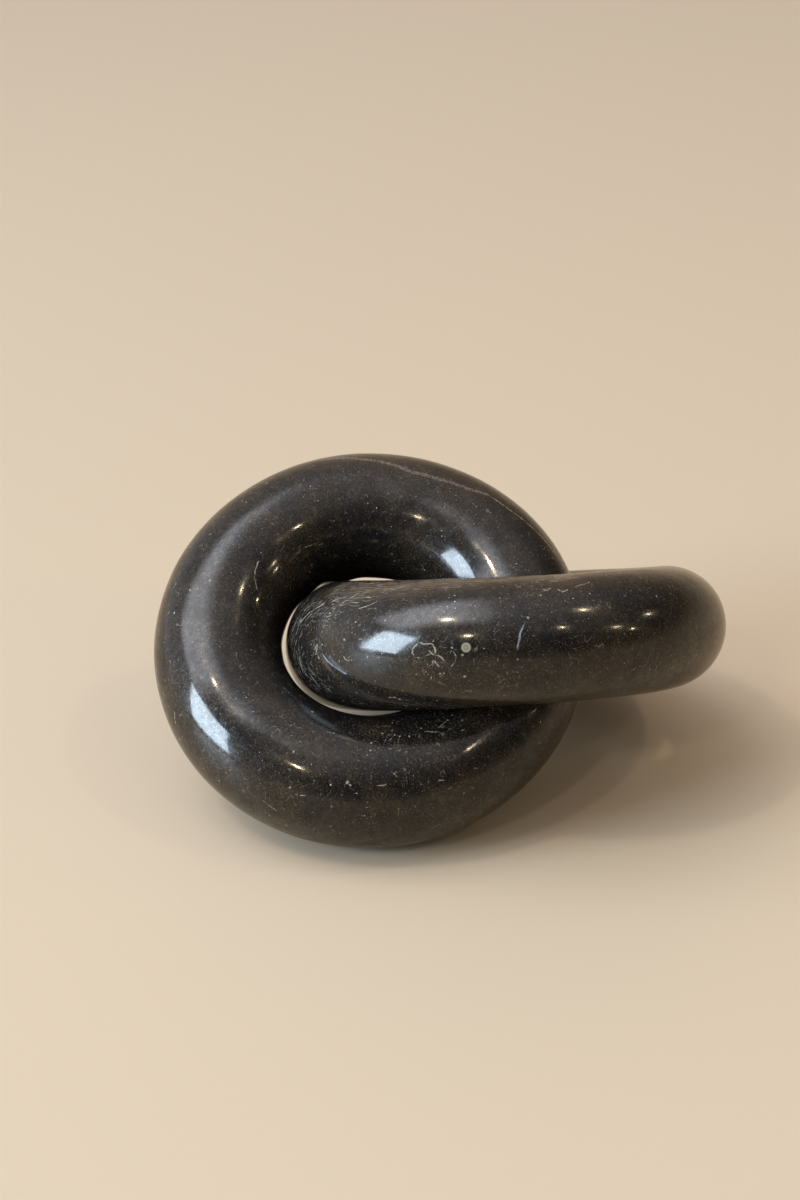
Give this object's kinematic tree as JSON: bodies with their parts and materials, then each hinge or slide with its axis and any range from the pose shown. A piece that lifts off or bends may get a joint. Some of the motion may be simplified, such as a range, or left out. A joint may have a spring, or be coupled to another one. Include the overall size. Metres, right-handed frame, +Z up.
{
  "type": "chain link sculpture",
  "caption": "Ornament of round polished marble rings linked like a chain, each leaning on the other, that lies on a table or shelf.",
  "frame": {"origin": "on the table, under the middle of the pair's box", "axes": "+X from the left link to the right link, +Y back, away from the picture's camera, +Z up"},
  "size_m": [0.1592, 0.1164, 0.0786],
  "materials": {
    "marble": "polished black fossil marble with pale specks, shell marks and thin veins"
  },
  "bodies": {
    "left_link": {"left_link": "marble"},
    "right_link": {"right_link": "marble"}
  },
  "joints": [
    {"name": "right_link_tip", "type": "hinge", "parent": "left_link", "child": "right_link", "pos_m": [-0.02143, -0.00901, 0.04198], "axis": [-0.2626, -0.8529, 0.4512], "range_deg": [0, 120]}
  ]
}
